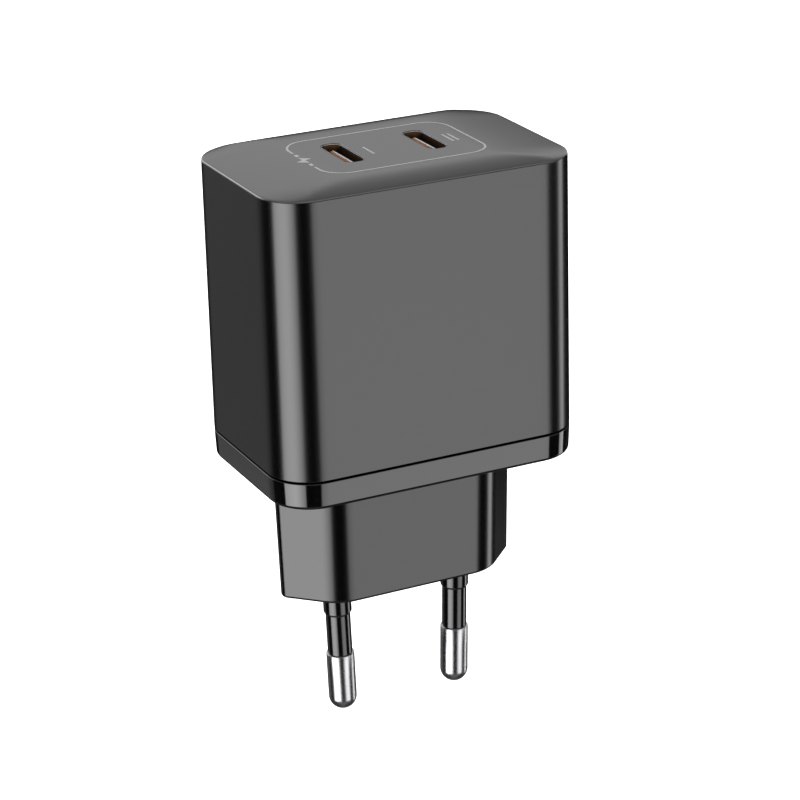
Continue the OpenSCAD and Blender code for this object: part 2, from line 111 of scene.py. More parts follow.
def port_outline(half_y, half_x, x):
    """A port's opening, long along Y, with well rounded corners."""
    centred = rectangle_outline(half_x, half_y, PORT_CORNER, 10, 1.0)
    return [(point + Vector((x, 0)), normal) for point, normal in centred]


def circle_outline(radius, x=0.0, y=0.0, steps=48):
    outline = []
    for k in range(steps):
        normal = Vector((math.cos(math.tau * k / steps), math.sin(math.tau * k / steps)))
        outline.append((Vector((x, y)) + normal * radius, normal))
    return outline


def inset_points(outline, inset):
    return [point - normal * inset for point, normal in outline]


def inside(points, spot):
    """True if the spot lies inside the closed polygon."""
    found = False
    for i, a in enumerate(points):
        b = points[i - 1]
        if (a.y > spot.y) != (b.y > spot.y):
            if spot.x < a.x + (b.x - a.x) * (spot.y - a.y) / (b.y - a.y):
                found = not found
    return found


# ---------------------------------------------------------------- mesh building

class Builder:
    """Collects rings of vertices into one closed mesh, in millimetres."""

    def __init__(self):
        self.bm = bmesh.new()

    def ring(self, points, z):
        """A ring at height z, which is a number or a function of the point."""
        height = z if callable(z) else lambda p: z
        return [self.bm.verts.new((p.x, p.y, height(p))) for p in points]

    def bridge(self, ring_a, ring_b):
        count = len(ring_a)
        for i in range(count):
            j = (i + 1) % count
            self.bm.faces.new((ring_a[i], ring_a[j], ring_b[j], ring_b[i]))

    def tube(self, rings):
        for ring_a, ring_b in zip(rings, rings[1:]):
            self.bridge(ring_a, ring_b)

    def cap(self, ring):
        self.bm.faces.new(ring)

    def paint(self, rings, index):
        """Gives the faces along these rings another of the piece's looks."""
        chosen = {v for ring in rings for v in ring}
        for face in self.bm.faces:
            if all(v in chosen for v in face.verts):
                face.material_index = index

    def sheet(self, outer, holes, z, extra=()):
        """Fills between an outer ring and the rings of its holes, through any extra points."""
        height = z if callable(z) else lambda p: z
        known = [v for ring in [outer, *holes] for v in ring]
        spots = [Vector((v.co.x, v.co.y)) for v in known] + list(extra)
        edges = []
        first = 0
        for ring in [outer, *holes]:
            count = len(ring)
            edges += [(first + i, first + (i + 1) % count) for i in range(count)]
            first += count
        result = delaunay_2d_cdt(spots, edges, [], 1, 1e-6, True)
        made = []
        for spot, sources in zip(result[0], result[3]):
            owned = [s for s in sources if s < len(known)]
            made.append(known[owned[0]] if owned else self.bm.verts.new((spot.x, spot.y, height(spot))))
        whole, *gaps = [[Vector((v.co.x, v.co.y)) for v in ring] for ring in [outer, *holes]]
        for triangle in result[2]:
            middle = sum((result[0][i] for i in triangle), Vector((0, 0))) / len(triangle)
            if inside(whole, middle) and not any(inside(gap, middle) for gap in gaps):
                self.bm.faces.new([made[i] for i in triangle])

    def lathe(self, profile, steps=96):
        """Turns a profile of (radius, z) about Z. A profile that starts and ends on the axis is closed."""
        rings = []
        for radius, z in profile:
            if radius == 0:
                rings.append([self.bm.verts.new((0, 0, z))])
            else:
                rings.append(self.ring(inset_points(circle_outline(radius, steps=steps), 0), z))
        closed = profile[0][0] != 0
        pairs = list(zip(rings, rings[1:])) + ([(rings[-1], rings[0])] if closed else [])
        for ring_a, ring_b in pairs:
            if len(ring_a) == 1 or len(ring_b) == 1:
                pole = ring_a[0] if len(ring_a) == 1 else ring_b[0]
                rim = ring_b if len(ring_a) == 1 else ring_a
                for i in range(steps):
                    self.bm.faces.new((pole, rim[i], rim[(i + 1) % steps]))
            else:
                self.bridge(ring_a, ring_b)
        return rings

    def finish(self, name, *looks, sharp=40):
        """The finished object in metres, smooth shaded, with its flat faces kept flat."""
        bmesh.ops.recalc_face_normals(self.bm, faces=self.bm.faces)
        bmesh.ops.scale(self.bm, vec=(MM, MM, MM), verts=self.bm.verts)
        mesh = bpy.data.meshes.new(name)
        self.bm.to_mesh(mesh)
        self.bm.free()
        mesh.shade_smooth()
        mesh.set_sharp_from_angle(angle=math.radians(sharp))
        for look in looks:
            mesh.materials.append(look)
        piece = bpy.data.objects.new(name, mesh)
        bpy.context.scene.collection.objects.link(piece)
        weighted = piece.modifiers.new("flat faces", "WEIGHTED_NORMAL")
        weighted.keep_sharp = True
        return piece


def round_over(radius, steps):
    """(inset, distance from the end face) at each step of a quarter-round edge, end face first."""
    turns = [math.pi / 2 * k / steps for k in range(steps + 1)]
    return [(radius * (1 - math.sin(turn)), radius * (1 - math.cos(turn))) for turn in turns]


def rounded_rings(builder, outline, radius, steps, height):
    """Rings over a quarter-round edge, end face first; height turns the distance from that face into z."""
    return [builder.ring(inset_points(outline, inset), height(away))
            for inset, away in round_over(radius, steps)]


# ---------------------------------------------------------------- materials

def node(tree, kind, inputs=None, **settings):
    made = tree.nodes.new(kind)
    for key, value in settings.items():
        setattr(made, key, value)
    for key, value in (inputs or {}).items():
        if isinstance(value, bpy.types.NodeSocket):
            tree.links.new(value, made.inputs[key])
        else:
            made.inputs[key].default_value = value
    return made


def math_node(tree, operation, a, b):
    return node(tree, "ShaderNodeMath", {0: a, 1: b}, operation=operation).outputs[0]


def material(name, color, roughness, metallic=0.0, grain=4000.0, bump=0.04, depth=0.02, mottle=0.12,
             spread=0.04, pattern=None, **shader):
    """A procedural material: mottled colour, uneven gloss, and a fine grain in millimetres of depth."""
    made = bpy.data.materials.new(name)
    made.use_nodes = True
    tree = made.node_tree
    surface = tree.nodes["Principled BSDF"]
    place = node(tree, "ShaderNodeTexCoord").outputs["Object"]
    broad = node(tree, "ShaderNodeTexNoise", {"Vector": place, "Scale": grain / 16, "Detail": 3.0})
    fine = node(tree, "ShaderNodeTexNoise", {"Vector": place, "Scale": grain, "Detail": 2.0})
    low = [c * (1 - mottle) for c in color]
    high = [c * (1 + mottle) for c in color]
    tint = node(tree, "ShaderNodeMix", {"Factor": broad.outputs["Fac"]}, data_type="RGBA")
    tint.inputs["A"].default_value = (*low, 1)
    tint.inputs["B"].default_value = (*high, 1)
    gloss = node(tree, "ShaderNodeMapRange", {"Value": fine.outputs["Fac"], "From Min": 0.3, "From Max": 0.7,
                                             "To Min": roughness - spread, "To Max": roughness + spread})
    height = fine.outputs["Fac"]
    if pattern:
        height = pattern(tree, place, height)
    relief = node(tree, "ShaderNodeBump", {"Height": height, "Strength": bump, "Distance": depth * MM})
    tree.links.new(tint.outputs["Result"], surface.inputs["Base Color"])
    tree.links.new(gloss.outputs["Result"], surface.inputs["Roughness"])
    tree.links.new(relief.outputs["Normal"], surface.inputs["Normal"])
    surface.inputs["Metallic"].default_value = metallic
    for key, value in shader.items():
        surface.inputs[key.replace("_", " ")].default_value = value
    return made


def windings(pitch, axis="Z"):
    """Turns of wire or tape, one every pitch millimetres along the axis."""
    def build(tree, place, height):
        wave = node(tree, "ShaderNodeTexWave", {"Vector": place, "Scale": math.tau / 20 / (pitch * MM)},
                    bands_direction=axis, wave_profile="SIN")
        return math_node(tree, "ADD", wave.outputs["Fac"], height)
    return build


def traces(tree, place, height):
    """Copper tracks under the solder mask of a board."""
    tracks = node(tree, "ShaderNodeTexBrick", {"Vector": place, "Scale": 420.0, "Mortar Size": 0.06})
    return math_node(tree, "SUBTRACT", tracks.outputs["Fac"], height)


HOUSING = material("housing", (0.0006, 0.0006, 0.00062), 0.23, grain=9000, bump=0.05, depth=0.01, spread=0.02)
BASE = material("base", (0.001, 0.001, 0.00105), 0.07, grain=6000, bump=0.01, depth=0.005, spread=0.02)
NOSE = material("nose", (0.0006, 0.0006, 0.00062), 0.2, grain=9000, bump=0.04, depth=0.01, spread=0.02,
                Specular_IOR_Level=0.44)
SLEEVE = material("sleeve", (0.001, 0.001, 0.001), 0.15, grain=6000, bump=0.03, depth=0.005, spread=0.02)
# One pin metal in two colours: the shank's darker colour is painted shade, and the round tip's brighter copy
# is a painted highlight.
PIN_METAL = material("pin_metal", (0.3, 0.3, 0.31), 0.27, 1.0, grain=9000, bump=0.004, depth=0.002,
                     mottle=0.03, spread=0.01)
PIN_TIP_PAINTED_HIGHLIGHT = material("pin_tip_painted_highlight", (0.93, 0.93, 0.94), 0.27, 1.0, grain=9000, bump=0.004, depth=0.002, spread=0.01)
PORT_METAL = material("port_metal", (0.25, 0.28, 0.32), 0.32, 1.0, grain=8000, bump=0.05, depth=0.005,
                      mottle=0.05)
# The port shell's inside walls: a dark brown copy of the port metal, painted shade with a painted reflection
# of the orange tongue.
PORT_INSIDE_PAINTED_SHADE = material("port_inside_painted_shade", (0.05, 0.027, 0.011), 0.4, 1.0, grain=8000, bump=0.05, depth=0.005)
# The tongue's orange is darkened as painted shade, for its place deep in the port.
TONGUE_PAINTED_SHADE = material("port_tongue", (0.15, 0.045, 0.001), 0.5, grain=9000, bump=0.08, Specular_IOR_Level=0.08)
PRINT = material("print_ink", (0.19, 0.195, 0.2), 0.45, grain=12000, bump=0.1, depth=0.01)
LOOKS = {
    "housing": HOUSING,
    "base": BASE,
    "sleeve": SLEEVE,
    "pin_metal": PIN_METAL,
    "port_metal": PORT_METAL,
    "port_tongue": TONGUE_PAINTED_SHADE,
    "gold_contact": material("gold_contact", (0.83, 0.6, 0.25), 0.25, 1.0, bump=0.05),
    "black_plastic": material("black_plastic", (0.02, 0.02, 0.021), 0.45, bump=0.1),
    "retainer_plastic": material("retainer_plastic", (0.6, 0.58, 0.52), 0.5, bump=0.1),
    "board": material("board", (0.02, 0.13, 0.06), 0.35, bump=0.25, depth=0.03, pattern=traces),
    "ferrite": material("ferrite", (0.05, 0.05, 0.052), 0.6, grain=3000, bump=0.3, depth=0.05),
    "copper": material("copper", (0.72, 0.35, 0.18), 0.3, 1.0, bump=0.3, depth=0.1, pattern=windings(0.6)),
    "winding_tape": material("winding_tape", (0.8, 0.45, 0.06), 0.3, bump=0.2, depth=0.05,
                             pattern=windings(2.4)),
    "can": material("can", (0.7, 0.71, 0.73), 0.3, 1.0, bump=0.08),
    "capacitor_yellow": material("capacitor_yellow", (0.75, 0.52, 0.08), 0.4, bump=0.1),
    "capacitor_blue": material("capacitor_blue", (0.05, 0.17, 0.42), 0.4, bump=0.15),
    "fuse_brown": material("fuse_brown", (0.16, 0.07, 0.03), 0.4, bump=0.15),
    "small_parts": material("small_parts", (0.09, 0.08, 0.075), 0.4, bump=0.1),
    "spreader": material("spreader", (0.68, 0.69, 0.7), 0.35, 1.0, bump=0.12),
    "film": material("film", (0.75, 0.72, 0.6), 0.25, bump=0.05),
    "pad": material("pad", (0.32, 0.36, 0.42), 0.7, grain=3000, bump=0.3, depth=0.05),
}


# ---------------------------------------------------------------- housing

FLAT_X = 10.4
FLAT_Y = 9.6
ROLL_POWER = 2.4
FALL_POWER = 1.4
CROWN_BLEND = 0.05
TOP_EDGE = 0.2
SEAM_EDGE = 0.16
PORT_EDGE = 0.06
POST_FOOT = 52.6
PORT_CUT = (4.7, 1.46)
CROWN_DROP = TOP - EDGE_Z
TOP_HALF_X = BODY_HALF[0] - SIDE_DRAFT
TOP_HALF_Y = BODY_HALF[1] - SIDE_DRAFT
TOP_RADIUS = CORNER_RADIUS - SIDE_DRAFT
BODY_OUTLINE = rectangle_outline(*BODY_HALF, CORNER_RADIUS)
POSTS = [circle_outline(POST_RADIUS, x, y) for x in (-POST_X, POST_X) for y in (-POST_Y, POST_Y)]


def edge_x(y):
    """Half width of the top's outline at this depth."""
    past = min(max(abs(y) - (TOP_HALF_Y - TOP_RADIUS), 0), TOP_RADIUS)
    return TOP_HALF_X - TOP_RADIUS + math.sqrt(TOP_RADIUS ** 2 - past ** 2)


def crown(point):
    """Height of the top: flat in the middle, rolled off to the front and back, and falling to the sides."""
    ahead = max(abs(point.y) - FLAT_Y, 0) / (TOP_HALF_Y - FLAT_Y)
    aside = max(abs(point.x) - FLAT_X, 0) / (edge_x(point.y) - FLAT_X)
    roll = CROWN_DROP * ahead ** ROLL_POWER
    fall = CROWN_DROP * aside ** FALL_POWER
    drop = (roll + fall + math.sqrt((roll - fall) ** 2 + CROWN_BLEND ** 2) - CROWN_BLEND) / 2
    return TOP - min(drop, CROWN_DROP)


def wall_inset(z):
    return SIDE_DRAFT * (z - SEAM) / HOUSING_HEIGHT


def top_edge(builder, steps):
    """Rings over the rounded edge between the walls and the top."""
    lean = wall_inset(EDGE_Z)
    landing = [crown(point) for point in inset_points(BODY_OUTLINE, lean + TOP_EDGE)]
    rings = []
    for k in range(steps + 1):
        t = k / steps
        ring = []
        for point, end in zip(inset_points(BODY_OUTLINE, lean + TOP_EDGE * t * t), landing):
            z = (1 - t) ** 2 * (EDGE_Z - TOP_EDGE) + 2 * t * (1 - t) * EDGE_Z + t * t * end
            ring.append(builder.bm.verts.new((point.x, point.y, z)))
        rings.append(ring)
    return rings


def build_housing():
    builder = Builder()
    walls = rounded_rings(builder, BODY_OUTLINE, SEAM_EDGE, 3, lambda rise: SEAM + rise)
    walls += [builder.ring(inset_points(BODY_OUTLINE, wall_inset(z)), z) for z in (30, 38, 46, 54, 60)]
    walls += top_edge(builder, 6)
    builder.tube(walls)

    openings = []
    ceiling_holes = []
    for x in (-PORT_X, PORT_X):
        slot = port_outline(*PORT_CUT, x)
        lip = [builder.ring(inset_points(slot, -inset), TOP - drop)
               for inset, drop in round_over(PORT_EDGE, 3)]
        bottom = builder.ring(inset_points(slot, 0), CEILING)
        builder.tube([*lip, bottom])
        openings.append(lip[0])
        ceiling_holes.append(bottom)
    for post in POSTS:
        root = builder.ring(inset_points(post, 0), CEILING)
        foot = builder.ring(inset_points(post, 0), POST_FOOT)
        builder.bridge(root, foot)
        builder.cap(foot)
        ceiling_holes.append(root)

    # Points that carry the crown's curve, kept clear of the port openings
    extra = []
    for inset in (0.6, 1.1, 1.7, 2.4, 3.2, 4.1):
        extra += inset_points(BODY_OUTLINE, wall_inset(EDGE_Z) + inset)
    step = 0.55
    clear_x = 2.4
    clear_y = 5.4
    for i in range(-31, 32):
        for j in range(-17, 18):
            spot = Vector((i * step, j * step))
            if not any(abs(spot.x - x) < clear_x and abs(spot.y) < clear_y for x in (-PORT_X, PORT_X)):
                extra.append(spot)
    for x in (-PORT_X, PORT_X):
        for margin in (0.32, 0.6):
            extra += inset_points(port_outline(*PORT_CUT, x), -margin)
    builder.sheet(walls[-1], openings, crown, extra)

    inner_top = builder.ring(inset_points(BODY_OUTLINE, WALL), CEILING)
    inner_low = builder.ring(inset_points(BODY_OUTLINE, WALL), SEAM)
    builder.tube([inner_top, inner_low, walls[0]])
    builder.sheet(inner_top, ceiling_holes, CEILING)
    return builder.finish("housing_shell", HOUSING)


# ---------------------------------------------------------------- base and plug nose

NOSE_HALF = (18.1, 6.5)
NOSE_DRAFT = 0.45
NOSE_CORNER = 6.2
NOSE_END = 1.3
HOLLOW_CORNER = 5.4
NOSE_FLOOR = 2.4
NOSE_EDGE = 0.5
RIM_TOP_EDGE = 0.06
RIM_LOW_EDGE = 0.6
BORE_RADIUS = 2.1
BASE_FLOOR = 20.3
LIP_TOP = 24.95


def nose_outline(half_x, half_y, corner, end, steps=12):
    flat = half_x - half_y
    corners = [(flat, -half_y), (half_x, 0), (flat, half_y), (-flat, half_y), (-half_x, 0), (-flat, -half_y)]
    return arc_outline(corners, [corner, end, corner, corner, end, corner], steps, 4.0)


def nose_points(outline, inset, z):
    """The nose's outline at height z, widened by its draft."""
    spread_x = 1 + NOSE_DRAFT / NOSE_HALF[0] * z / NOSE_LENGTH
    spread_y = 1 + NOSE_DRAFT / NOSE_HALF[1] * z / NOSE_LENGTH
    return [Vector((p.x * spread_x, p.y * spread_y)) for p in inset_points(outline, inset)]


def rim_inset(z):
    return RIM_INSET * (RIM_TOP - z) / (RIM_TOP - NOSE_LENGTH)


def build_base():
    builder = Builder()
    lip_out = WALL + 0.05
    lip_in = lip_out + 1.2

    # From the floor inside, over the lip, and down the rim to its rounded lower edge
    rim = [builder.ring(inset_points(BODY_OUTLINE, inset), z)
           for inset, z in ((lip_in, BASE_FLOOR), (lip_in, LIP_TOP), (lip_out + 0.1, LIP_TOP),
                            (lip_out, LIP_TOP - 0.1), (lip_out, RIM_TOP))]
    rim += rounded_rings(builder, BODY_OUTLINE, RIM_TOP_EDGE, 3, lambda drop: RIM_TOP - drop)
    for inset, rise in reversed(round_over(RIM_LOW_EDGE, 7)):
        z = NOSE_LENGTH + rise
        rim.append(builder.ring(inset_points(BODY_OUTLINE, rim_inset(z) + inset), z))
    builder.tube(rim)

    outline = nose_outline(*NOSE_HALF, NOSE_CORNER, NOSE_END)
    nose = [builder.ring(nose_points(outline, 0, z), z) for z in (NOSE_LENGTH, 12, 6)]
    for inset, rise in reversed(round_over(NOSE_EDGE, 6)):
        nose.append(builder.ring(nose_points(outline, inset, rise), rise))
    builder.tube(nose)
    builder.paint(nose, 1)
    builder.sheet(rim[-1], [nose[0]], NOSE_LENGTH)

    face_holes = []
    floor_holes = []
    for side in (-1, 1):
        bore = []
        for out, z in ((0.12, 0), (0, 0.12), (0, NOSE_FLOOR)):
            x = side * (PIN_SPACING / 2 + z * math.tan(PIN_LEAN))
            bore.append(builder.ring(inset_points(circle_outline(BORE_RADIUS + out, x), 0), z))
        builder.tube(bore)
        face_holes.append(bore[0])
        floor_holes.append(bore[-1])
    builder.sheet(nose[-1], face_holes, 0)

    hollow_half = (NOSE_HALF[0] - math.sqrt(2) * WALL, NOSE_HALF[1] - WALL)
    hollow = inset_points(nose_outline(*hollow_half, HOLLOW_CORNER, NOSE_END), 0)
    hollow_low = builder.ring(hollow, NOSE_FLOOR)
    hollow_top = builder.ring(hollow, BASE_FLOOR)
    builder.bridge(hollow_low, hollow_top)
    builder.sheet(hollow_low, floor_holes, NOSE_FLOOR)

    feet = []
    for post in POSTS:
        foot = builder.ring(inset_points(post, 0), BASE_FLOOR)
        head = builder.ring(inset_points(post, 0), RIM_TOP - 0.05)
        builder.bridge(foot, head)
        builder.cap(head)
        feet.append(foot)
    builder.sheet(rim[0], [hollow_top, *feet], BASE_FLOOR)
    return builder.finish("base_shell", BASE, NOSE)


# ---------------------------------------------------------------- pins

PIN_LENGTH = 19.2
PIN_RADIUS = 2
METAL_LENGTH = 8.8
COLLAR_LENGTH = 4.2
CORE_RADIUS = 1.3
SLEEVE_BORE = 1.31
SLEEVE_RADIUS = 1.76
FLANGE_RADIUS = 3
TIP = -(PIN_LENGTH + PIVOT) / math.cos(PIN_LEAN)
METAL_TOP = TIP + METAL_LENGTH
FLANGE = 1.4


def on_pin_axis(piece, side):
    """Puts a piece turned about Z onto a pin's own axis, with its zero at the pivot."""
    pivot = Vector((side * (PIN_SPACING / 2 + PIVOT * math.tan(PIN_LEAN)), 0, PIVOT)) * MM
    piece.data.transform(Matrix.Translation(pivot) @ Matrix.Rotation(side * PIN_LEAN, 4, "Y"))
    return piece


def build_pin(name, side):
    """The metal pin: round tip in a brighter copy of the metal as a painted highlight, bare end, core inside
    the sleeve, flange and stem.
    """
    builder = Builder()
    tip = [(0, TIP)]
    for k in range(1, 25):
        turn = math.pi / 2 * k / 24
        tip.append((PIN_RADIUS * math.sin(turn), TIP + PIN_RADIUS - PIN_RADIUS * math.cos(turn)))
    shank = [(PIN_RADIUS, METAL_TOP - 3.5), (PIN_RADIUS, METAL_TOP - 0.07), (1.98, METAL_TOP - 0.02),
             (1.93, METAL_TOP), (CORE_RADIUS, METAL_TOP), (CORE_RADIUS, FLANGE)]
    root = [(2.9, FLANGE), (FLANGE_RADIUS, FLANGE + 0.1), (FLANGE_RADIUS, FLANGE + 1.1), (2.9, FLANGE + 1.2),
            (1.4, FLANGE + 1.2), (1.4, FLANGE + 6.3), (1.3, FLANGE + 6.4), (0, FLANGE + 6.4)]
    rings = builder.lathe([*tip, *shank, *root])
    # The round tip's rings take the brighter copy of the metal, a painted highlight.
    painted_highlight_rings = 15
    builder.paint(rings[:painted_highlight_rings], 1)
    return on_pin_axis(builder.finish(name, PIN_METAL, PIN_TIP_PAINTED_HIGHLIGHT), side)


def build_sleeve(name, side):
    """The insulating sleeve: thin along the pin, with a chamfered collar at its root."""
    builder = Builder()
    collar = -(COLLAR_LENGTH + PIVOT)
    builder.lathe([(SLEEVE_BORE, METAL_TOP), (1.72, METAL_TOP), (SLEEVE_RADIUS, METAL_TOP + 0.05),
                   (SLEEVE_RADIUS, collar - 0.05), (1.775, collar), (1.96, collar + 0.25),
                   (PIN_RADIUS, collar + 0.34), (PIN_RADIUS, FLANGE), (SLEEVE_BORE, FLANGE)])
    return on_pin_axis(builder.finish(name, SLEEVE), side)


# ---------------------------------------------------------------- ports

PORT_SHELL = (4.67, 1.43)
SHELL_FLOOR = 52.6
BLADE_TOP = 61.7
BLADE_HALF = (0.35, 3.345)
STRIP_HALF = (0.13, 3.2)


def build_port_shell(name, x):
    """The receptacle's metal shell, with a thin bright lip and a bevelled mouth; its walls inside take a dark
    brown copy of the metal as painted shade and a painted reflection of the tongue.
    """
    builder = Builder()
    outer = port_outline(*PORT_SHELL, x)
    profile = [(0, SHELL_FLOOR), (0, MOUTH - 0.03), (0.03, MOUTH), (0.08, MOUTH), (0.1, MOUTH - 0.03),
               (0.24, MOUTH - 1.2), (0.24, SHELL_FLOOR)]
    rings = [builder.ring(inset_points(outer, inset), z) for inset, z in profile]
    builder.tube([*rings, rings[0]])
    # The walls inside the lip take the dark copy of the metal, painted shade.
    builder.paint(rings[4:], 1)
    return builder.finish(name, PORT_METAL, PORT_INSIDE_PAINTED_SHADE)


def build_plate(name, x, half_x, half_y, radius, bottom, top, edge, look):
    """An upright plate with rounded sides and a rounded top edge."""
    builder = Builder()
    outline = [(p + Vector((x, 0)), n) for p, n in rectangle_outline(half_x, half_y, radius, 6, 1.0)]
    rings = [builder.ring(inset_points(outline, 0), bottom)]
    for inset, drop in reversed(round_over(edge, 3)):
        rings.append(builder.ring(inset_points(outline, inset), top - drop))
    builder.tube(rings)
    builder.sheet(rings[0], [], bottom)
    builder.sheet(rings[-1], [], top)
    return builder.finish(name, look)


# ---------------------------------------------------------------- printed marks

INK = 0.02


def stamp(builder, points):
    """A flat inked shape that follows the top."""
    low = builder.ring(points, lambda p: crown(p) - INK)
    high = builder.ring(points, lambda p: crown(p) + INK)
    builder.bridge(low, high)
    builder.sheet(low, [], lambda p: crown(p) - INK)
    builder.sheet(high, [], lambda p: crown(p) + INK)


def line_shape(path, width):
    """The outline of an open line of this width along a path."""
    left = []
    right = []
    for i, point in enumerate(path):
        along = (path[min(i + 1, len(path) - 1)] - path[max(i - 1, 0)]).normalized()
        across = Vector((-along.y, along.x)) * width / 2
        left.append(point + across)
        right.append(point - across)
    return right + left[::-1]


def build_print():
    """A thin frame round the ports, open at the left, a charge sign there, and bars that number the ports."""
    builder = Builder()
    half_x = 11.95
    half_y = 8.3
    centre_y = -0.65
    radius = 3.5
    line = 0.3
    gap = (-4.1, 2.9)
    frame_line = [p + Vector((0, centre_y)) for p, _ in rectangle_outline(half_x, half_y, radius, 12, 0.8)]
    first = next(i for i, p in enumerate(frame_line) if p.x < 0 and p.y < gap[0])
    kept = [p for p in frame_line[first:] + frame_line[:first] if p.x > 0 or not gap[0] < p.y < gap[1]]
    stamp(builder, line_shape([Vector((-half_x, gap[0])), *kept, Vector((-half_x, gap[1]))], line))
    bolt = [(-0.95, -0.1), (0.2, -0.95), (0.12, -0.12), (0.95, 0.1), (-0.2, 0.95), (-0.12, 0.12)]
    stamp(builder, [Vector((x * 1.25 - half_x, y * 1.5 - 0.6)) for x, y in bolt])
    for y in (-2.95, 1.75):
        stamp(builder, line_shape([Vector((-half_x, y - 0.5)), Vector((-half_x, y + 0.5))], 0.5))
    beside_port = 3.4
    bar_gap = 0.8
    for count, port_x in ((1, -PORT_X), (2, PORT_X)):
        for k in range(count):
            x = port_x + beside_port + bar_gap * (k - (count - 1) / 2)
            stamp(builder, line_shape([Vector((x, -2.7)), Vector((x, 0.9))], line))
    return builder.finish("top_print", PRINT)


# ---------------------------------------------------------------- assembly

def place(piece, body, replaced, slot):
    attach(piece, body)
    if replaced:
        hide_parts(replaced)


place(build_housing(), "casing", "upper_housing", "housing")
place(build_base(), "casing", "base_cover", "base")
place(build_print(), "casing", None, "housing")
for number, x in ((1, -PORT_X), (2, PORT_X)):
    place(build_port_shell(f"port_{number}_mouth", x), "casing", f"port_{number}_shell", "port_metal")
    tongue = build_plate(f"port_{number}_blade", x, *BLADE_HALF, 0.2, PORT_FLOOR, BLADE_TOP, 0.1, TONGUE_PAINTED_SHADE)
    place(tongue, "casing", f"port_{number}_tongue", "port_tongue")
    strip = build_plate(f"port_{number}_blade_edge", x + 0.06, *STRIP_HALF, 0.1, BLADE_TOP - 0.2,
                        BLADE_TOP + 0.08, 0.04, PORT_METAL)
    place(strip, "casing", None, "port_metal")
for side, name in ((-1, "left"), (1, "right")):
    place(build_pin(f"{name}_pin_metal", side), f"{name}_prong", f"{name}_pin", "pin_metal")
    place(build_sleeve(f"{name}_pin_insulation", side), f"{name}_prong", f"{name}_pin_sleeve", "sleeve")

for part in frame["record"]["subparts"]:
    for material_slot in frame["nodes"][part["node"]].material_slots:
        material_slot.material = LOOKS[part["material_slot"]]


# ---------------------------------------------------------------- studio

def ramp(tree, value, stops):
    """A curve through (position, level) stops, with levels from 0 to 1."""
    made = node(tree, "ShaderNodeValToRGB", {"Fac": value})
    elements = made.color_ramp.elements
    while len(elements) > 1:
        elements.remove(elements[-1])
    for i, (position, level) in enumerate(stops):
        element = elements[0] if i == 0 else elements.new(position)
        element.position = position
        element.color = (level, level, level, 1)
    return made.outputs["Color"]


# Upright light panels round the object: (degrees round from +X, radiance)
PANELS = [(0, 3.2), (2, 0.02), (104, 0.02), (106, 0.27), (136, 0.18), (138, 0.02), (175, 0.02), (177, 5.8),
          (190, 7.2), (205, 8.2), (214, 7.4), (224, 5.4), (231.5, 3.6), (234, 0.02), (271, 0.02), (275, 2.8),
          (290, 3.7), (301, 3.7), (308, 3.3), (310, 0.02), (343, 0.02), (346, 3.0), (353, 3.6), (359.9, 3.3)]
PANEL_HEIGHTS = [(-0.62, 0), (-0.56, 1), (-0.3, 1), (-0.02, 1), (0.0, 0)]
# Light from all round: (sine of the elevation, radiance)
OPEN_HEIGHTS = [(-1.0, 0.11), (-0.6, 0.11), (-0.56, 0.0), (0.0, 0.0), (0.1, 0.06), (0.18, 0.42), (0.23, 0.88),
                (0.27, 1.12), (0.31, 1.2), (1.0, 1.3)]
# Low cards that light the back and the sides, left out where the top's back edge mirrors them
CARDS = [(0, 0), (34, 0), (38, 2.2), (52, 2.2), (56, 0), (74, 0), (78, 2.4), (106, 2.4), (110, 1.2),
         (150, 1.2), (154, 0), (308, 0), (312, 2.4), (330, 2.4), (334, 0), (360, 0)]
CARD_HEIGHTS = [(-0.2, 0), (-0.13, 1), (0.15, 1), (0.22, 0)]
# Soft boxes overhead in front, and above the back left, that draw the light along the top's edges
OVERHEAD = [(0, 0), (165, 0), (175, 2.2), (325, 2.2), (335, 0), (360, 0)]
OVERHEAD_HEIGHTS = [(0.55, 0), (0.65, 1), (0.85, 1), (0.93, 0)]
BACK_BOX = [(0, 0), (88, 0), (94, 5.0), (136, 5.0), (142, 0), (360, 0)]
BACK_BOX_HEIGHTS = [(0.26, 0), (0.32, 1), (0.55, 1), (0.62, 0)]
# A low light in front, below the panels, that the round pin tips mirror
LOW_FRONT = [(0, 0), (195, 0), (205, 0.2), (285, 0.2), (295, 0), (360, 0)]
LOW_FRONT_HEIGHTS = [(-1.0, 1), (-0.62, 1), (-0.58, 0)]
# Faint low cards that lift the nose's right facet and the rim's left side
LOW_CARDS = [(0, 0), (22, 0), (24, 0.1), (36, 0.1), (38, 0), (104, 0), (106, 0.07), (136, 0.05), (138, 0),
             (360, 0)]
LOW_HEIGHTS = [(-0.54, 0), (-0.5, 1), (-0.42, 1), (-0.39, 0)]
STRONGEST = 10.0
# The floor, in metres
FLOOR_HALF = 4.0
FLOOR_Z = -0.075


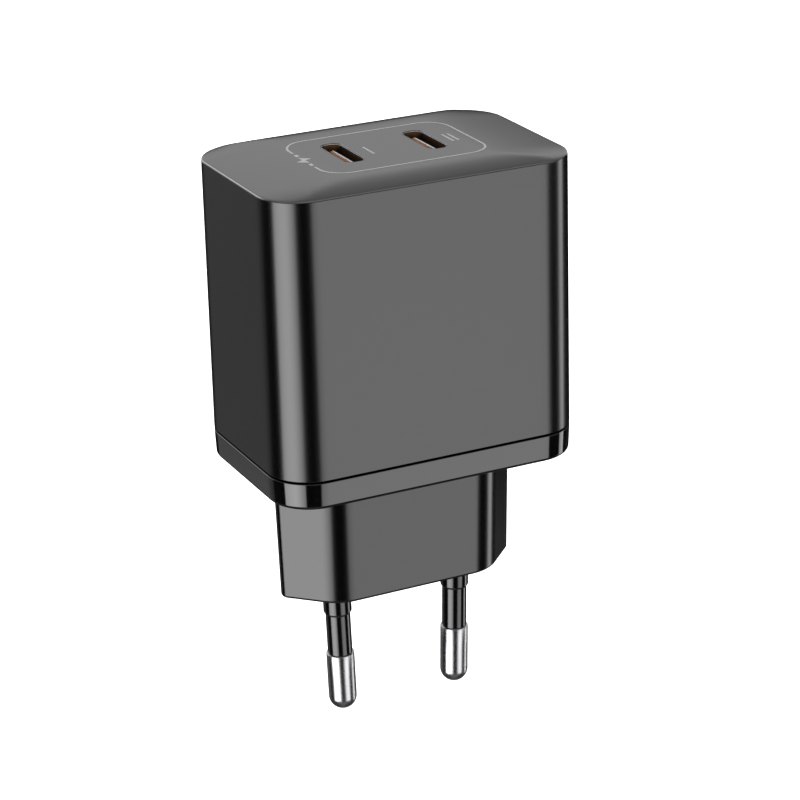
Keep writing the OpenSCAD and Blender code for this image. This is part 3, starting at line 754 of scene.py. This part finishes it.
def build_light():
    world = bpy.data.worlds.new("studio")
    world.use_nodes = True
    tree = world.node_tree
    tree.nodes.clear()
    direction = node(tree, "ShaderNodeTexCoord").outputs["Generated"]
    split = node(tree, "ShaderNodeSeparateXYZ", {"Vector": direction})
    x, y, z = (split.outputs[axis] for axis in "XYZ")
    turn = math_node(tree, "DIVIDE", math_node(tree, "ARCTAN2", y, x), math.tau)
    around = math_node(tree, "FRACT", math_node(tree, "ADD", turn, 1.0), 0.0)
    height = math_node(tree, "MULTIPLY_ADD", z, 0.5)
    height.node.inputs[2].default_value = 0.5
    total = ramp(tree, height, [((level + 1) / 2, glow / STRONGEST) for level, glow in OPEN_HEIGHTS])
    for sides, heights in ((PANELS, PANEL_HEIGHTS), (CARDS, CARD_HEIGHTS), (OVERHEAD, OVERHEAD_HEIGHTS),
                           (BACK_BOX, BACK_BOX_HEIGHTS), (LOW_FRONT, LOW_FRONT_HEIGHTS),
                           (LOW_CARDS, LOW_HEIGHTS)):
        sideways = ramp(tree, around, [(degrees / 360, level / STRONGEST) for degrees, level in sides])
        upward = ramp(tree, height, [((level + 1) / 2, share) for level, share in heights])
        total = math_node(tree, "ADD", total, math_node(tree, "MULTIPLY", sideways, upward))
    studio = node(tree, "ShaderNodeBackground", {"Strength": math_node(tree, "MULTIPLY", total, STRONGEST)})
    seen = node(tree, "ShaderNodeBackground", {"Strength": 1.0})
    for background in (studio, seen):
        background.inputs["Color"].default_value = (1, 1, 1, 1)
    camera_ray = node(tree, "ShaderNodeLightPath").outputs["Is Camera Ray"]
    mix = node(tree, "ShaderNodeMixShader", {0: camera_ray, 1: studio.outputs[0], 2: seen.outputs[0]})
    node(tree, "ShaderNodeOutputWorld", {"Surface": mix.outputs[0]})
    bpy.context.scene.world = world


def build_floor():
    """A large pale floor below the pins, seen only from above and kept out of the reflections."""
    made = bpy.data.materials.new("floor")
    made.use_nodes = True
    tree = made.node_tree
    tree.nodes.clear()
    place = node(tree, "ShaderNodeTexCoord").outputs["Object"]
    mottle = node(tree, "ShaderNodeTexNoise", {"Vector": place, "Scale": 30.0})
    level = node(tree, "ShaderNodeMapRange", {"Value": mottle.outputs["Fac"], "To Min": 0.94, "To Max": 0.97})
    white = node(tree, "ShaderNodeBsdfDiffuse", {"Color": level.outputs["Result"]})
    glow = node(tree, "ShaderNodeEmission", {"Strength": 0.35})
    paper = node(tree, "ShaderNodeAddShader", {0: white.outputs[0], 1: glow.outputs[0]})
    clear = node(tree, "ShaderNodeBsdfTransparent")
    behind = node(tree, "ShaderNodeNewGeometry").outputs["Backfacing"]
    mix = node(tree, "ShaderNodeMixShader", {0: behind, 1: paper.outputs[0], 2: clear.outputs[0]})
    node(tree, "ShaderNodeOutputMaterial", {"Surface": mix.outputs[0]})
    mesh = bpy.data.meshes.new("floor")
    corners = [(FLOOR_HALF * x, FLOOR_HALF * y, 0) for x, y in ((-1, -1), (1, -1), (1, 1), (-1, 1))]
    mesh.from_pydata(corners, [], [(0, 1, 2, 3)])
    mesh.materials.append(made)
    floor = bpy.data.objects.new("floor", mesh)
    floor.location.z = FLOOR_Z
    floor.visible_glossy = False
    bpy.context.scene.collection.objects.link(floor)


def build_camera():
    """The camera stands to the front left, above the object, tilted very slightly."""
    yaw, pitch, roll = 0.446437, 0.372385, -0.026964
    spot = (-0.154787, -0.326261, 0.166987)
    forward = Vector((math.sin(yaw) * math.cos(pitch), math.cos(yaw) * math.cos(pitch), -math.sin(pitch)))
    level = forward.cross(Vector((0, 0, 1))).normalized()
    upward = level.cross(forward)
    right = level * math.cos(roll) + upward * math.sin(roll)
    up = upward * math.cos(roll) - level * math.sin(roll)
    data = bpy.data.cameras.new("camera")
    data.sensor_width = 36
    data.lens = 126.502
    camera = bpy.data.objects.new("camera", data)
    turned = Matrix((right, up, -forward)).transposed().to_4x4()
    camera.matrix_world = Matrix.Translation(spot) @ turned
    bpy.context.scene.collection.objects.link(camera)
    bpy.context.scene.camera = camera


build_light()
build_floor()
build_camera()
bpy.context.scene.view_settings.view_transform = "Standard"
